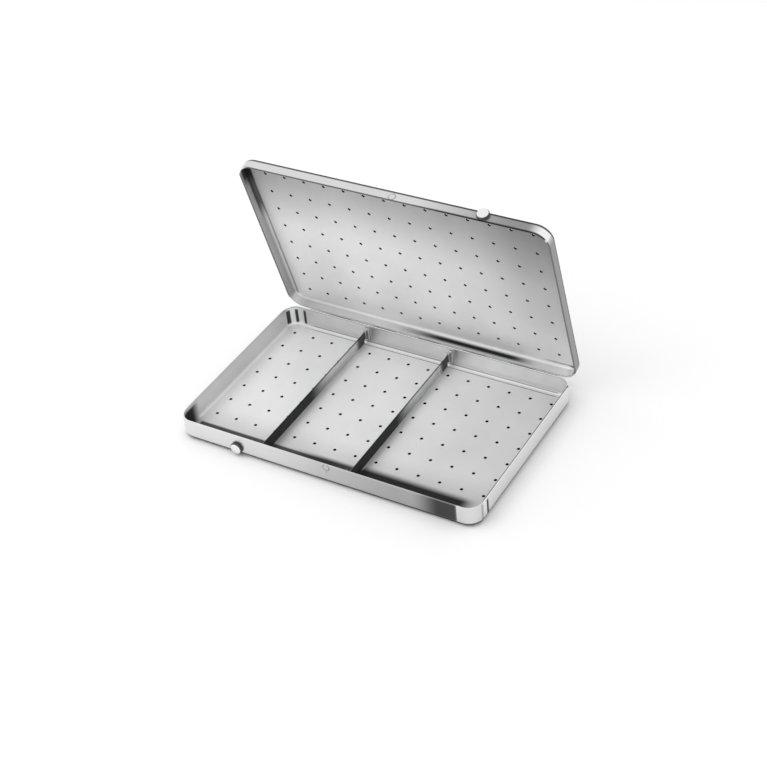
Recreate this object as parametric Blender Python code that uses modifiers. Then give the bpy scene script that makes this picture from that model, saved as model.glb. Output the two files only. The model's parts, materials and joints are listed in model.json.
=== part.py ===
"""Sterilization container: a shallow two-shell case pressed from stainless sheet.

A perforated base tray with two dividers and a perforated lid that slips over it, joined at the
rear by a long rolled hinge on one pin. A stud on each shell opens the case by finger, and a
pressed dimple in each front wall snaps it shut. Lengths are in metres, +Z is up, the front is
at -Y, and the origin is the middle of the base's underside. The lid stands open as at rest.
"""

import math

import bmesh
import bpy
from mathutils import Matrix, Vector

MM = 0.001

# The closed case
case_length = 150.0 * MM
case_width = 95.0 * MM
case_height = 13.0 * MM
sheet = 0.6 * MM
bend_radius = 2.2 * MM
lid_corner_radius = 7.5 * MM
lid_depth = 6.0 * MM
base_height = 10.4 * MM
edge_break = 0.15 * MM

# Clearances
nesting_gap = 0.3 * MM
seat_gap = 0.3 * MM
running_gap = 0.2 * MM
cut_overrun = 1.0 * MM

# Perforation
hole_diameter = 1.5 * MM
hole_margin_x = 7.5 * MM
hole_margin_y = 8.2 * MM
base_pitch_x = 10.35 * MM
base_pitch_y = 10.95 * MM
lid_pitch_x = 10.0 * MM
lid_pitch_y = 11.2 * MM

# Dividers, placed by their left face
divider_sheet = 0.6 * MM
divider_height = 5.3 * MM
divider_bend = 1.4 * MM
ear_width = 2.8 * MM
ear_below_rim = 1.4 * MM
divider_places = {"divider_left": -32.4 * MM, "divider_right": 11.8 * MM}

# Finger studs
stud_diameter = 5.7 * MM
stud_height = 1.7 * MM
stud_edge = 0.7 * MM
stud_shank_diameter = 2.4 * MM
stud_flare = 0.4 * MM
base_stud_x = -43.0 * MM
lid_stud_x = 45.0 * MM
lid_stud_above_rim = 3.0 * MM

# Snap dimples
dimple_x = 3.0 * MM
base_dimple_diameter = 3.0 * MM
base_dimple_height = 0.25 * MM
lid_dimple_diameter = 3.0 * MM
lid_dimple_height = 0.45 * MM

# Hinge
hinge_length = 130.0 * MM
hinge_knuckles = 11
hinge_sheet = 0.5 * MM
pin_diameter = 1.4 * MM
pin_overhang = 0.6 * MM
pin_crown = 0.25 * MM
leaf_margin = 0.4 * MM
roll_turn = math.radians(300)
lid_open_angle = math.radians(74.5)

# Smoothness of the curved shapes
corner_segments = 6
bend_segments = 3
hole_sides = 8
roll_segments = 12
turned_steps = 24
dome_segments = 5

# Worked out from the sizes above
lid_rim_z = case_height - lid_depth
base_length = case_length - 2 * (sheet + nesting_gap)
base_width = case_width - 2 * (sheet + nesting_gap)
base_corner_radius = lid_corner_radius - sheet - nesting_gap
inner_bend = max(bend_radius - sheet, edge_break)
knuckle_inner = pin_diameter / 2 + running_gap
knuckle_outer = knuckle_inner + hinge_sheet
axis_y = case_width / 2 + seat_gap + knuckle_outer
axis_z = case_height / 2
knuckle_pitch = hinge_length / hinge_knuckles
base_front = -base_width / 2
lid_front = -case_width / 2
dimple_z = (lid_rim_z + base_height) / 2
base_stud_z = lid_rim_z - seat_gap - stud_diameter / 2

STEEL = {"Base Color": (0.74, 0.75, 0.76, 1.0), "Metallic": 1.0, "Roughness": 0.28}
STRIP = {"Base Color": (0.62, 0.63, 0.64, 1.0), "Metallic": 1.0, "Roughness": 0.22}
TURNED = {"Base Color": (0.82, 0.82, 0.83, 1.0), "Metallic": 1.0, "Roughness": 0.15}


def clear_scene():
    for obj in list(bpy.data.objects):
        bpy.data.objects.remove(obj, do_unlink=True)


def new_collection(name):
    collection = bpy.data.collections.new(name)
    bpy.context.scene.collection.children.link(collection)
    return collection


def new_material(name, values):
    material = bpy.data.materials.new(name)
    material.use_nodes = True
    shader = material.node_tree.nodes["Principled BSDF"]
    for socket, value in values.items():
        shader.inputs[socket].default_value = value
    return material


def mesh_object(name, bm, collection, material=None):
    """Turns a finished bmesh into an object, shaded smooth between its sharp edges."""
    bmesh.ops.recalc_face_normals(bm, faces=bm.faces)
    mesh = bpy.data.meshes.new(name)
    bm.to_mesh(mesh)
    bm.free()
    mesh.shade_smooth()
    mesh.set_sharp_from_angle(angle=math.radians(35))
    obj = bpy.data.objects.new(name, mesh)
    collection.objects.link(obj)
    if material:
        mesh.materials.append(material)
    return obj


def as_cutter(obj):
    obj.hide_render = True
    obj.display_type = "WIRE"
    return obj


def combine(obj, other, operation="DIFFERENCE"):
    modifier = obj.modifiers.new(f"{operation.title()} {other.name}", "BOOLEAN")
    modifier.operation = operation
    modifier.solver = "EXACT"
    modifier.object = other


def box(name, low, high, collection):
    """A box between two corners."""
    bm = bmesh.new()
    bmesh.ops.create_cube(bm, size=1.0)
    low, high = Vector(low), Vector(high)
    bmesh.ops.scale(bm, verts=bm.verts, vec=high - low)
    bmesh.ops.translate(bm, verts=bm.verts, vec=(low + high) / 2)
    return mesh_object(name, bm, collection)


def drawn_shell(name, length, width, height, corner_radius, collection, material):
    """An open tray, drawn from one sheet: rounded plan corners and a bend round its floor.

    The floor lies at z = 0 with the walls going up; the sheet is laid on inside the outer skin.
    """
    bm = bmesh.new()
    bmesh.ops.create_cube(bm, size=1.0)
    bmesh.ops.scale(bm, verts=bm.verts, vec=(length, width, height))
    bmesh.ops.translate(bm, verts=bm.verts, vec=(0, 0, height / 2))
    top = [f for f in bm.faces if f.normal.z > 0.5]
    bmesh.ops.delete(bm, geom=top, context="FACES_ONLY")
    uprights = [e for e in bm.edges if abs(e.verts[0].co.z - e.verts[1].co.z) > height / 2]
    bmesh.ops.bevel(
        bm, geom=uprights, offset=corner_radius, offset_type="OFFSET",
        segments=corner_segments, profile=0.5, affect="EDGES", clamp_overlap=True,
    )
    floor = max((f for f in bm.faces if f.normal.z < -0.5), key=lambda f: f.calc_area())
    bmesh.ops.bevel(
        bm, geom=list(floor.edges), offset=bend_radius, offset_type="OFFSET",
        segments=bend_segments, profile=0.5, affect="EDGES", clamp_overlap=True,
    )
    shell = mesh_object(name, bm, collection, material)
    walls = shell.modifiers.new("Sheet", "SOLIDIFY")
    walls.thickness = sheet
    walls.offset = -1
    walls.use_even_offset = True
    walls.use_quality_normals = True
    rim = shell.modifiers.new("Rim break", "BEVEL")
    rim.width = edge_break
    rim.segments = 1
    rim.limit_method = "ANGLE"
    rim.angle_limit = math.radians(60)
    return shell


def perforation(name, pitch_x, pitch_y, plate_z, collection):
    """One punch for the whole field: the grid of round holes that fits inside the margins."""
    columns = int((case_length - 2 * hole_margin_x) / pitch_x) + 1
    rows = int((case_width - 2 * hole_margin_y) / pitch_y) + 1
    bm = bmesh.new()
    for column in range(columns):
        for row in range(rows):
            centre = Vector((
                (column - (columns - 1) / 2) * pitch_x,
                (row - (rows - 1) / 2) * pitch_y,
                plate_z,
            ))
            bmesh.ops.create_cone(
                bm, cap_ends=True, segments=hole_sides,
                radius1=hole_diameter / 2, radius2=hole_diameter / 2,
                depth=sheet + 2 * cut_overrun, matrix=Matrix.Translation(centre),
            )
    return as_cutter(mesh_object(name, bm, collection))


def turned(name, profile, collection, material=None, steps=turned_steps):
    """A solid turned about Z from (radius, height) points, given from its top down."""
    bm = bmesh.new()
    verts = [bm.verts.new((radius, 0, height)) for radius, height in profile]
    for first, second in zip(verts, verts[1:]):
        bm.edges.new((first, second))
    obj = mesh_object(name, bm, collection, material)
    screw = obj.modifiers.new("Turned", "SCREW")
    screw.axis = "Z"
    screw.steps = steps
    screw.render_steps = steps
    screw.use_merge_vertices = True
    screw.merge_threshold = edge_break / 100
    screw.use_smooth_shade = True
    return obj


def dome(radius, height, foot, segments=dome_segments):
    """The points of a round crown, from its top to its edge."""
    points = []
    for step in range(segments + 1):
        turn = math.pi / 2 * step / segments
        points.append((radius * math.sin(turn), foot + height * math.cos(turn)))
    return points


def facing_front(obj, x, y, z):
    """Places a turned piece with its top to the front."""
    obj.location = (x, y, z)
    obj.rotation_euler = (math.pi / 2, 0, 0)
    return obj


def stud_profile(clearance=0.0):
    """The shank of a finger stud, from under the head to its peened, flush end."""
    shank = stud_shank_diameter / 2 + clearance
    return [
        (shank, -seat_gap - sheet / 2),
        (shank + stud_flare, -seat_gap - sheet),
    ]


def finger_stud(name, collection, material):
    """A domed head on a short shank that passes through the wall and is peened flush."""
    head = stud_diameter / 2
    crown = [
        (radius * head, height)
        for radius, height in dome(1.0, stud_height - stud_edge, stud_edge)
    ]
    return turned(
        name,
        crown
        + [(head, edge_break), (head - edge_break, 0), (stud_shank_diameter / 2, 0)]
        + stud_profile()
        + [(0, -seat_gap - sheet)],
        collection, material,
    )


def stud_hole(name, collection):
    """The punched and countersunk hole that a stud's shank is peened into."""
    through, flared = stud_profile(running_gap)
    slope = (flared[0] - through[0]) / (through[1] - flared[1])
    bottom = flared[1] - cut_overrun
    profile = [
        (0, cut_overrun),
        (through[0], cut_overrun),
        through,
        (flared[0] + slope * cut_overrun, bottom),
        (0, bottom),
    ]
    return as_cutter(turned(name, profile, collection, steps=hole_sides * 2))


def dimple_tool(name, diameter, height, depth, collection):
    """A pressed dimple: a low round crown on a plug that reaches into the sheet."""
    radius = diameter / 2
    crown = [
        (radius * step / dome_segments, height * (1 - (step / dome_segments) ** 2))
        for step in range(dome_segments)
    ]
    profile = crown + [(radius, 0), (radius, -depth), (0, -depth)]
    return as_cutter(turned(name, profile, collection, steps=hole_sides * 2))


def press_dimple(shell, diameter, height, x, y, z, collection):
    """Swells the wall outwards and follows it with an equal hollow inside."""
    boss = dimple_tool(shell.name + "_dimple_boss", diameter, height, sheet / 2, collection)
    hollow = dimple_tool(shell.name + "_dimple_hollow", diameter, height, cut_overrun, collection)
    combine(shell, facing_front(boss, x, y, z), "UNION")
    combine(shell, facing_front(hollow, x, y + sheet, z))
    return boss, hollow


def divider(name, left_x, collection, cutters, material):
    """A low strip that ends in an ear on the front and on the rear wall, where it is welded.

    Both ears turn to the right and stand higher than the strip, which sweeps up to them. Each
    lower corner is notched round the tray's bend.
    """
    end_y = base_width / 2 - sheet - seat_gap
    foot_z = sheet + seat_gap
    ear_top = base_height - ear_below_rim
    strip_top = foot_z + divider_height
    bm = bmesh.new()
    corners = (
        (left_x + ear_width, -end_y), (left_x, -end_y),
        (left_x, end_y), (left_x + ear_width, end_y),
    )
    lower = [bm.verts.new((x, y, foot_z)) for x, y in corners]
    edges = [bm.edges.new(pair) for pair in zip(lower, lower[1:])]
    raised = bmesh.ops.extrude_edge_only(bm, edges=edges)["geom"]
    upper = [v for v in raised if isinstance(v, bmesh.types.BMVert)]
    bmesh.ops.translate(bm, verts=upper, vec=(0, 0, ear_top - foot_z))
    bends = [
        e for e in bm.edges
        if len(e.link_faces) == 2 and abs(e.verts[0].co.z - e.verts[1].co.z) > 0
    ]
    bmesh.ops.bevel(
        bm, geom=bends, offset=divider_bend, offset_type="OFFSET",
        segments=bend_segments, profile=0.5, affect="EDGES", clamp_overlap=True,
    )
    strip = mesh_object(name, bm, collection, material)
    outward = max(strip.data.polygons, key=lambda face: face.area).normal.x
    thick = strip.modifiers.new("Sheet", "SOLIDIFY")
    thick.thickness = divider_sheet
    thick.offset = -1 if outward < 0 else 1
    thick.use_even_offset = True

    # The part of the blank that is cut away above the strip, swept at both ends
    bm = bmesh.new()
    bmesh.ops.create_cube(bm, size=1.0)
    low = Vector((left_x - cut_overrun, divider_bend - end_y, strip_top))
    high = Vector((left_x + divider_bend, end_y - divider_bend, ear_top + cut_overrun))
    bmesh.ops.scale(bm, verts=bm.verts, vec=high - low)
    bmesh.ops.translate(bm, verts=bm.verts, vec=(low + high) / 2)
    corners = [
        e for e in bm.edges
        if max(v.co.z for v in e.verts) < ear_top and e.verts[0].co.y == e.verts[1].co.y
    ]
    bmesh.ops.bevel(
        bm, geom=corners, offset=ear_top - strip_top, offset_type="OFFSET",
        segments=corner_segments, profile=0.5, affect="EDGES", clamp_overlap=True,
    )
    combine(strip, as_cutter(mesh_object(f"{name}_sweep", bm, cutters)))

    notch = inner_bend + seat_gap
    for side, sign in (("front", -1), ("rear", 1)):
        inner, outer = sign * (base_width / 2 - sheet - notch), sign * base_width / 2
        relief = box(
            f"{name}_{side}_relief",
            (left_x - cut_overrun, min(inner, outer), 0),
            (left_x + ear_width + cut_overrun, max(inner, outer), sheet + notch),
            cutters,
        )
        combine(strip, as_cutter(relief))
    return strip


def rolled_leaf(name, skin, collection, material):
    """A hinge leaf with its eye: the outer skin's (y, z) line drawn along X and given its sheet."""
    bm = bmesh.new()
    line = [bm.verts.new((-hinge_length / 2, y, z)) for y, z in skin]
    edges = [bm.edges.new(pair) for pair in zip(line, line[1:])]
    drawn = bmesh.ops.extrude_edge_only(bm, edges=edges)["geom"]
    far = [v for v in drawn if isinstance(v, bmesh.types.BMVert)]
    bmesh.ops.translate(bm, verts=far, vec=(hinge_length, 0, 0))
    leaf = mesh_object(name, bm, collection, material)
    eye = [
        face for face in leaf.data.polygons
        if Vector((0, face.center.y, face.center.z)).length < knuckle_outer
    ]
    outward = sum(face.normal.dot(Vector((0, face.center.y, face.center.z))) for face in eye)
    thick = leaf.modifiers.new("Sheet", "SOLIDIFY")
    thick.thickness = hinge_sheet
    thick.offset = -1 if outward > 0 else 1
    thick.use_even_offset = True
    return leaf


def eye_points(start_angle):
    """The rolled eye's outer skin, as a turn about the pin that starts at the leaf."""
    count = round(roll_segments * roll_turn / (2 * math.pi))
    return [
        (
            knuckle_outer * math.cos(start_angle + roll_turn * step / count),
            knuckle_outer * math.sin(start_angle + roll_turn * step / count),
        )
        for step in range(count + 1)
    ]


def knuckle_notches(name, leaf_has_even, low, high, cutters):
    """The gaps that the other leaf's knuckles run in, between two (y, z) corners."""
    bm = bmesh.new()
    for index in range(hinge_knuckles):
        if (index % 2 == 0) == leaf_has_even:
            continue
        start = -hinge_length / 2 + index * knuckle_pitch
        first = start - (seat_gap / 2 if index else cut_overrun)
        last = start + knuckle_pitch + (seat_gap / 2 if index < hinge_knuckles - 1 else cut_overrun)
        piece = bmesh.ops.create_cube(bm, size=1.0)["verts"]
        bmesh.ops.scale(bm, verts=piece, vec=(last - first, high[0] - low[0], high[1] - low[1]))
        centre = ((first + last) / 2, (low[0] + high[0]) / 2, (low[1] + high[1]) / 2)
        bmesh.ops.translate(bm, verts=piece, vec=centre)
    return as_cutter(mesh_object(name, bm, cutters))


def hang_on(axis, *pieces):
    """Gives pieces, modelled in the closed place about the pin, to the lid's axis."""
    for piece in pieces:
        piece.parent = axis


def build():
    clear_scene()
    parts = new_collection("sterilization_container")
    cutters = new_collection("cutters")
    steel = new_material("satin_stainless", STEEL)
    strip = new_material("divider_stainless", STRIP)
    turned_steel = new_material("turned_stainless", TURNED)

    # Base tray
    base = drawn_shell(
        "base_tray", base_length, base_width, base_height, base_corner_radius, parts, steel,
    )
    press_dimple(
        base, base_dimple_diameter, base_dimple_height, dimple_x, base_front, dimple_z, cutters,
    )
    base_hole = stud_hole("base_stud_hole", cutters)
    combine(base, facing_front(base_hole, base_stud_x, base_front - seat_gap, base_stud_z))
    combine(base, perforation("base_perforation", base_pitch_x, base_pitch_y, sheet / 2, cutters))

    for name, left_x in divider_places.items():
        divider(name, left_x, parts, cutters, strip)

    stud = finger_stud("base_stud", parts, turned_steel)
    facing_front(stud, base_stud_x, base_front - seat_gap, base_stud_z)

    # The lid's axis: its pieces are modelled shut, about the pin, and then swung open
    axis = bpy.data.objects.new("lid_axis", None)
    axis.location = (0, axis_y, axis_z)
    axis.rotation_euler = (-lid_open_angle, 0, 0)
    parts.objects.link(axis)

    lid = drawn_shell(
        "lid_shell", case_length, case_width, lid_depth, lid_corner_radius, parts, steel,
    )
    lid.rotation_euler = (math.pi, 0, 0)
    lid.location = (0, -axis_y, case_height - axis_z)
    lid_boss, lid_hollow = press_dimple(
        lid, lid_dimple_diameter, lid_dimple_height,
        dimple_x, lid_front - axis_y, dimple_z - axis_z, cutters,
    )
    stud_z = lid_rim_z + lid_stud_above_rim - axis_z
    lid_hole = stud_hole("lid_stud_hole", cutters)
    facing_front(lid_hole, lid_stud_x, lid_front - seat_gap - axis_y, stud_z)
    combine(lid, lid_hole)
    lid_holes = perforation(
        "lid_perforation", lid_pitch_x, lid_pitch_y, case_height - sheet / 2 - axis_z, cutters,
    )
    lid_holes.location.y = -axis_y
    combine(lid, lid_holes)
    lid_stud = finger_stud("lid_stud", parts, turned_steel)
    facing_front(lid_stud, lid_stud_x, lid_front - seat_gap - axis_y, stud_z)

    # Lid leaf: lies on the lid's rear wall and rolls under and round the pin
    leaf_top = case_height - bend_radius - axis_z
    lid_leaf = rolled_leaf(
        "hinge_leaf_lid", [(-knuckle_outer, leaf_top)] + eye_points(math.pi), parts, steel,
    )
    reach = knuckle_outer + cut_overrun
    combine(lid_leaf, knuckle_notches(
        "lid_leaf_notches", False, (-reach, -reach), (reach, knuckle_outer + seat_gap), cutters,
    ))
    lid_notches = cutters.objects["lid_leaf_notches"]
    hang_on(axis, lid, lid_boss, lid_hollow, lid_hole, lid_holes, lid_stud, lid_leaf, lid_notches)

    # Base leaf: stands on the tray's rear wall, steps out and rolls up round the pin
    leg_y = base_width / 2 + seat_gap + hinge_sheet - axis_y
    base_leaf = rolled_leaf(
        "hinge_leaf_base",
        [(leg_y, bend_radius + leaf_margin - axis_z), (leg_y, -knuckle_outer)]
        + eye_points(math.pi * 1.5),
        parts, steel,
    )
    base_leaf.location = (0, axis_y, axis_z)
    base_notches = knuckle_notches(
        "base_leaf_notches", True,
        (-knuckle_outer - seat_gap, -reach), (reach, reach), cutters,
    )
    base_notches.location = base_leaf.location
    combine(base_leaf, base_notches)

    # Pin, lying along X
    half = hinge_length / 2 + pin_overhang
    radius = pin_diameter / 2
    pin = turned(
        "hinge_pin",
        [(0, half), (radius - pin_crown, half), (radius, half - pin_crown),
         (radius, pin_crown - half), (radius - pin_crown, -half), (0, -half)],
        parts, turned_steel,
    )
    pin.location = base_leaf.location
    pin.rotation_euler = (0, math.pi / 2, 0)


build()
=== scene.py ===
"""Looks of the sterilization container: a perforated steel tray with a hinged perforated lid.

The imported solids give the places; the pieces made here are the finer forms that are seen.
Lengths are in metres, +Z is up and the front is at -Y. The lid's pieces are modelled shut and
then swung open about the pin.
"""

import json
import math

import bmesh
import bpy
from mathutils import Matrix, Vector


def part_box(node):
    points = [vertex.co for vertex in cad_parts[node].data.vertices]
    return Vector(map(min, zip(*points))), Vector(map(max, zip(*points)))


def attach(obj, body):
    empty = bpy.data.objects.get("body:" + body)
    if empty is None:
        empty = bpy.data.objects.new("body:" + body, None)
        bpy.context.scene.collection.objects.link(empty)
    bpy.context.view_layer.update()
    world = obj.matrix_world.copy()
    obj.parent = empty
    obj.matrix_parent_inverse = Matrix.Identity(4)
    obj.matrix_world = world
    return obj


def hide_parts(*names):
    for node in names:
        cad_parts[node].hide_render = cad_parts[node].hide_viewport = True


bl_info = {
    "name": "Sterilization container",
    "version": (1, 0, 0),
    "blender": (4, 5, 0),
    "location": "View3D > Sidebar > Container",
    "description": "Builds the pieces, finishes and studio of a sterilization container",
    "category": "Object",
}

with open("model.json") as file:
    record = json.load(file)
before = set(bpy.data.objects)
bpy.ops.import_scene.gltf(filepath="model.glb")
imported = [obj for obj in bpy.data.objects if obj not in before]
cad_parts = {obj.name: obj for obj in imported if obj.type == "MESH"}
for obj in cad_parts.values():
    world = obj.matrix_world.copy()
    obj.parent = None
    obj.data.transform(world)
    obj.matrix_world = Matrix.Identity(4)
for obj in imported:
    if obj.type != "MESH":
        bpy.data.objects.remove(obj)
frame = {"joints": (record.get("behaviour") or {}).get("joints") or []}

MM = 0.001
_, TRAY_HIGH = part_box("base_tray")
LID_LOW, LID_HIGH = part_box("lid_shell")
PIN_LOW, PIN_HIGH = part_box("hinge_pin")
HINGE = frame["joints"][0]


def settable(kind, **fixed):
    """A maker of one kind of property, from its name, description and default."""

    def make(name, description, default):
        return kind(name=name, description=description, default=default, **fixed)

    return make


length = settable(bpy.props.FloatProperty, unit="LENGTH", precision=5)
angle = settable(bpy.props.FloatProperty, unit="ROTATION", subtype="ANGLE")
share = settable(bpy.props.FloatProperty, min=0.0, subtype="FACTOR")
focal = settable(bpy.props.FloatProperty, unit="CAMERA")
power = settable(bpy.props.FloatProperty, min=0.0, unit="POWER")
number = settable(bpy.props.IntProperty)
pair = settable(bpy.props.FloatVectorProperty, size=2, unit="LENGTH")
spot = settable(bpy.props.FloatVectorProperty, size=3, unit="LENGTH", subtype="TRANSLATION")
colour = settable(bpy.props.FloatVectorProperty, size=3, subtype="COLOR", min=0.0, max=1.0)


class ShellSizes(bpy.types.PropertyGroup):
    """Sizes of the tray and the lid."""

    case_length: length("Case length", "Outside length of the lid", LID_HIGH.x - LID_LOW.x)
    case_width: length("Case width", "Outside width of the lid", 95.0 * MM)
    case_height: length("Case height", "Height of the closed case", 13.0 * MM)
    sheet: length("Sheet", "Thickness of the sheet", 0.6 * MM)
    nesting_gap: length("Nesting gap", "Gap between the tray's and the lid's walls", 0.3 * MM)
    bend_radius: length("Bend radius", "Outside radius of the bend round the plate", 2.2 * MM)
    corner_radius: length("Corner radius", "Outside radius of the lid's corners", 7.5 * MM)
    tray_height: length("Tray height", "Height of the tray's walls", TRAY_HIGH.z)
    lid_depth: length("Lid depth", "Depth of the lid over its plate", 6.0 * MM)
    rim_round: length("Rim rounding", "Rounding of the cut rim", 0.18 * MM)
    dimple_x: length("Dimple place", "How far right of the middle the dimples lie", 3.0 * MM)
    dimple_radius: length("Dimple radius", "Radius of each snap dimple", 1.75 * MM)
    tray_dimple: length("Tray dimple", "Height of the dimple on the tray", 0.25 * MM)
    lid_dimple: length("Lid dimple", "Height of the dimple on the lid", 0.45 * MM)
    dimple_shift: length("Dimple shift", "Each dimple's shift to its own plate", 0.1 * MM)


class HoleSizes(bpy.types.PropertyGroup):
    """The punched fields."""

    diameter: length("Hole diameter", "Diameter of a hole over its lip", 1.5 * MM)
    lip: length("Hole lip", "How far each hole's inner lip is countersunk", 0.4 * MM)
    columns: number("Columns", "Holes along X", 14)
    rows: number("Rows", "Holes along Y", 8)
    tray_pitch_x: length("Tray pitch X", "Hole spacing along the tray", 10.35 * MM)
    tray_pitch_y: length("Tray pitch Y", "Hole spacing across the tray", 10.95 * MM)
    lid_pitch_x: length("Lid pitch X", "Hole spacing along the lid", 10.0 * MM)
    lid_pitch_y: length("Lid pitch Y", "Hole spacing across the lid", 11.2 * MM)
    sides: number("Sides", "Sides of each round hole", 20)


class FittingSizes(bpy.types.PropertyGroup):
    """Dividers, studs and hinge."""

    strip_sheet: length("Divider sheet", "Thickness of a divider's strip", 0.6 * MM)
    strip_height: length("Divider height", "Height of a divider's strip", 5.3 * MM)
    strip_bend: length("Divider bend", "Outside radius of a divider's bends", 1.4 * MM)
    strip_round: length("Divider rounding", "Rounding of a divider's edges", 0.12 * MM)
    seat_gap: length("Seat gap", "Gap behind each fitting", 0.3 * MM)
    ear_width: length("Ear width", "Width of a divider's ears", 2.8 * MM)
    ear_top: length("Ear top", "Height of a divider's ears above the table", 9.0 * MM)
    stud_diameter: length("Stud diameter", "Diameter of a stud's head", 5.7 * MM)
    stud_height: length("Stud height", "How far a stud's head stands out", 1.7 * MM)
    shank_radius: length("Shank radius", "Radius of a stud's shank", 1.2 * MM)
    lid_stud_rise: length("Lid stud rise", "Height of the lid's stud over its rim", 3.0 * MM)
    hinge_length: length("Hinge length", "Length of the hinge's leaves", 130.0 * MM)
    knuckles: number("Knuckles", "Rolled knuckles", 11)
    hinge_sheet: length("Hinge sheet", "Thickness of the hinge's leaves", 0.5 * MM)
    roll_turn: angle("Roll", "How far a knuckle is rolled round the pin", math.radians(300))
    pin_radius: length("Pin radius", "Radius of the hinge pin", (PIN_HIGH.z - PIN_LOW.z) / 2)
    running_gap: length("Running gap", "Gap between the pin and its knuckles", 0.2 * MM)
    knuckle_gap: length("Knuckle gap", "Gap between neighbouring knuckles", 0.3 * MM)


class Finishes(bpy.types.PropertyGroup):
    """Colours and polish of the steel, and the colours and strengths of its painted shade."""

    plate_colour: colour("Plate steel", "Colour of the punched plates", (0.93, 0.93, 0.935))
    wall_colour: colour("Wall steel", "Colour of the drawn walls and bends", (0.9, 0.9, 0.905))
    strip_colour: colour("Strip steel", "Colour of the dividers", (0.72, 0.72, 0.725))
    turned_colour: colour("Turned steel", "Colour of the studs and the pin", (0.86, 0.86, 0.86))
    edge_colour: colour("Cut edge", "Colour of cut edges, rubbed bright", (0.92, 0.92, 0.92))
    # Painted shade inside the punched holes
    bore_colour: colour("Hole bores", "Colour inside the punched holes", (0.02, 0.02, 0.021))
    # Colour of the painted shade and painted reflection in the darkened places
    shade_colour: colour("Darkened steel", "Colour of the darkened places", (0.015, 0.015, 0.016))
    sheet_roughness: share("Sheet roughness", "Roughness of the pressed plates", 0.5)
    wall_roughness: share("Wall roughness", "Roughness of the drawn walls and bends", 0.32)
    bore_roughness: share("Bore roughness", "Roughness inside the punched holes", 0.9)
    scatter: share("Scatter", "Share of light that the plates scatter", 0.6)
    strip_roughness: share("Strip roughness", "Roughness of the dividers", 0.28)
    turned_roughness: share("Turned roughness", "Roughness of the turned pieces", 0.12)
    grain: share("Grain", "Depth of the polishing grain", 0.06)
    waviness: share("Waviness", "How far the thin sheet is out of flat", 0.08)
    # Darkness of the painted shade lines round bends, along rims, round dimples and on stud heads
    bend_line: share("Bend line", "Darkness of the line round a bend", 0.96)
    rim_line: share("Rim line", "Darkness of the line along a rim", 0.8)
    dimple_line: share("Dimple line", "Darkness of the ring round a dimple", 0.75)
    stud_line: share("Stud line", "Darkness of the side of a stud's head", 0.92)


class Studio(bpy.types.PropertyGroup):
    """Camera, floor and light."""

    azimuth: angle("Azimuth", "Camera's turn round the object", math.radians(33.72))
    elevation: angle("Elevation", "Camera's height above the horizon", math.radians(38.03))
    roll: angle("Roll", "Camera's turn about its line of sight", math.radians(-6.34))
    distance: length("Distance", "Camera's distance from the tray's middle", 0.726)
    pan: pair("Pan", "Camera's sideways and upward place", (0.00306, 0.01487))
    lens: focal("Lens", "Focal length on a 36 mm sensor", 76.8)
    floor_colour: colour("Floor", "Colour of the table", (0.93, 0.93, 0.93))
    # Painted shadow on the table under the tray
    patch_colour: colour("Patch", "Colour of the table under the tray", (0.01, 0.01, 0.01))
    patch_inset: length("Patch inset", "How far the patch ends inside the tray", 5.0 * MM)
    table_size: length("Table size", "Half the table's width", 6.0)
    table_gap: length("Table gap", "Gap between the table and the tray", 0.05 * MM)
    fade_start: length("Fade start", "Where the table starts to fade to white", 0.45)
    fade_end: length("Fade end", "Where the table is seen as white", 1.1)
    light_level: share("Light level", "Strength of the even light", 0.95)
    lamp_power: power("Lamp power", "Power of the soft box", 6.0)
    lamp_size: pair("Lamp size", "Width and depth of the soft box", (1.2, 0.9))
    lamp_place: spot("Lamp place", "Place of the soft box", (-0.7, -0.5, 1.3))


GROUPS = {
    "shells": ShellSizes, "holes": HoleSizes, "fittings": FittingSizes,
    "finishes": Finishes, "studio": Studio,
}


def settings(name):
    return getattr(bpy.context.scene, f"container_{name}")


# ---- node helpers


class Tree:
    """Adds nodes to a tree and links them by socket name or number."""

    def __init__(self, tree):
        self.tree = tree

    def add(self, kind, values=None, **options):
        node = self.tree.nodes.new(kind)
        for key, value in options.items():
            setattr(node, key, value)
        for key, value in (values or {}).items():
            if isinstance(value, bpy.types.NodeSocket):
                self.tree.links.new(value, node.inputs[key])
            else:
                node.inputs[key].default_value = value
        return node

    def link(self, output, socket):
        self.tree.links.new(output, socket)

    def maths(self, operation, first, second=0.0):
        return self.add("ShaderNodeMath", {0: first, 1: second}, operation=operation).outputs[0]

    def times(self, first, second):
        return self.maths("MULTIPLY", first, second)

    def rest(self, share_taken):
        """What is left of 1."""
        return self.maths("SUBTRACT", 1.0, share_taken)

    def vector(self, **axes):
        return self.add("ShaderNodeCombineXYZ", axes).outputs[0]

    def ranged(self, value, low=0.0, high=1.0, start=0.0, end=1.0, **options):
        """Maps the range from start to end onto the range from low to high."""
        return self.add("ShaderNodeMapRange", {
            "Value": value, "From Min": start, "From Max": end, "To Min": low, "To Max": high,
        }, **options).outputs[0]

    def mix(self, factor, first, second, **options):
        return self.add(
            "ShaderNodeMix", {0: factor, 6: first, 7: second}, data_type="RGBA", **options,
        ).outputs[2]

    def painted(self, geometry, material):
        """Realizes a geometry's instances and gives it its material."""
        whole = self.add("GeometryNodeRealizeInstances", {0: geometry}).outputs[0]
        values = {"Geometry": whole, "Material": material}
        return self.add("GeometryNodeSetMaterial", values).outputs[0]

    def moved(self, geometry, **axes):
        values = {"Geometry": geometry, "Translation": self.vector(**axes)}
        return self.add("GeometryNodeTransform", values).outputs[0]

    def repeated(self, geometry, points):
        values = {"Points": points, "Instance": geometry}
        return self.add("GeometryNodeInstanceOnPoints", values).outputs[0]


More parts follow.
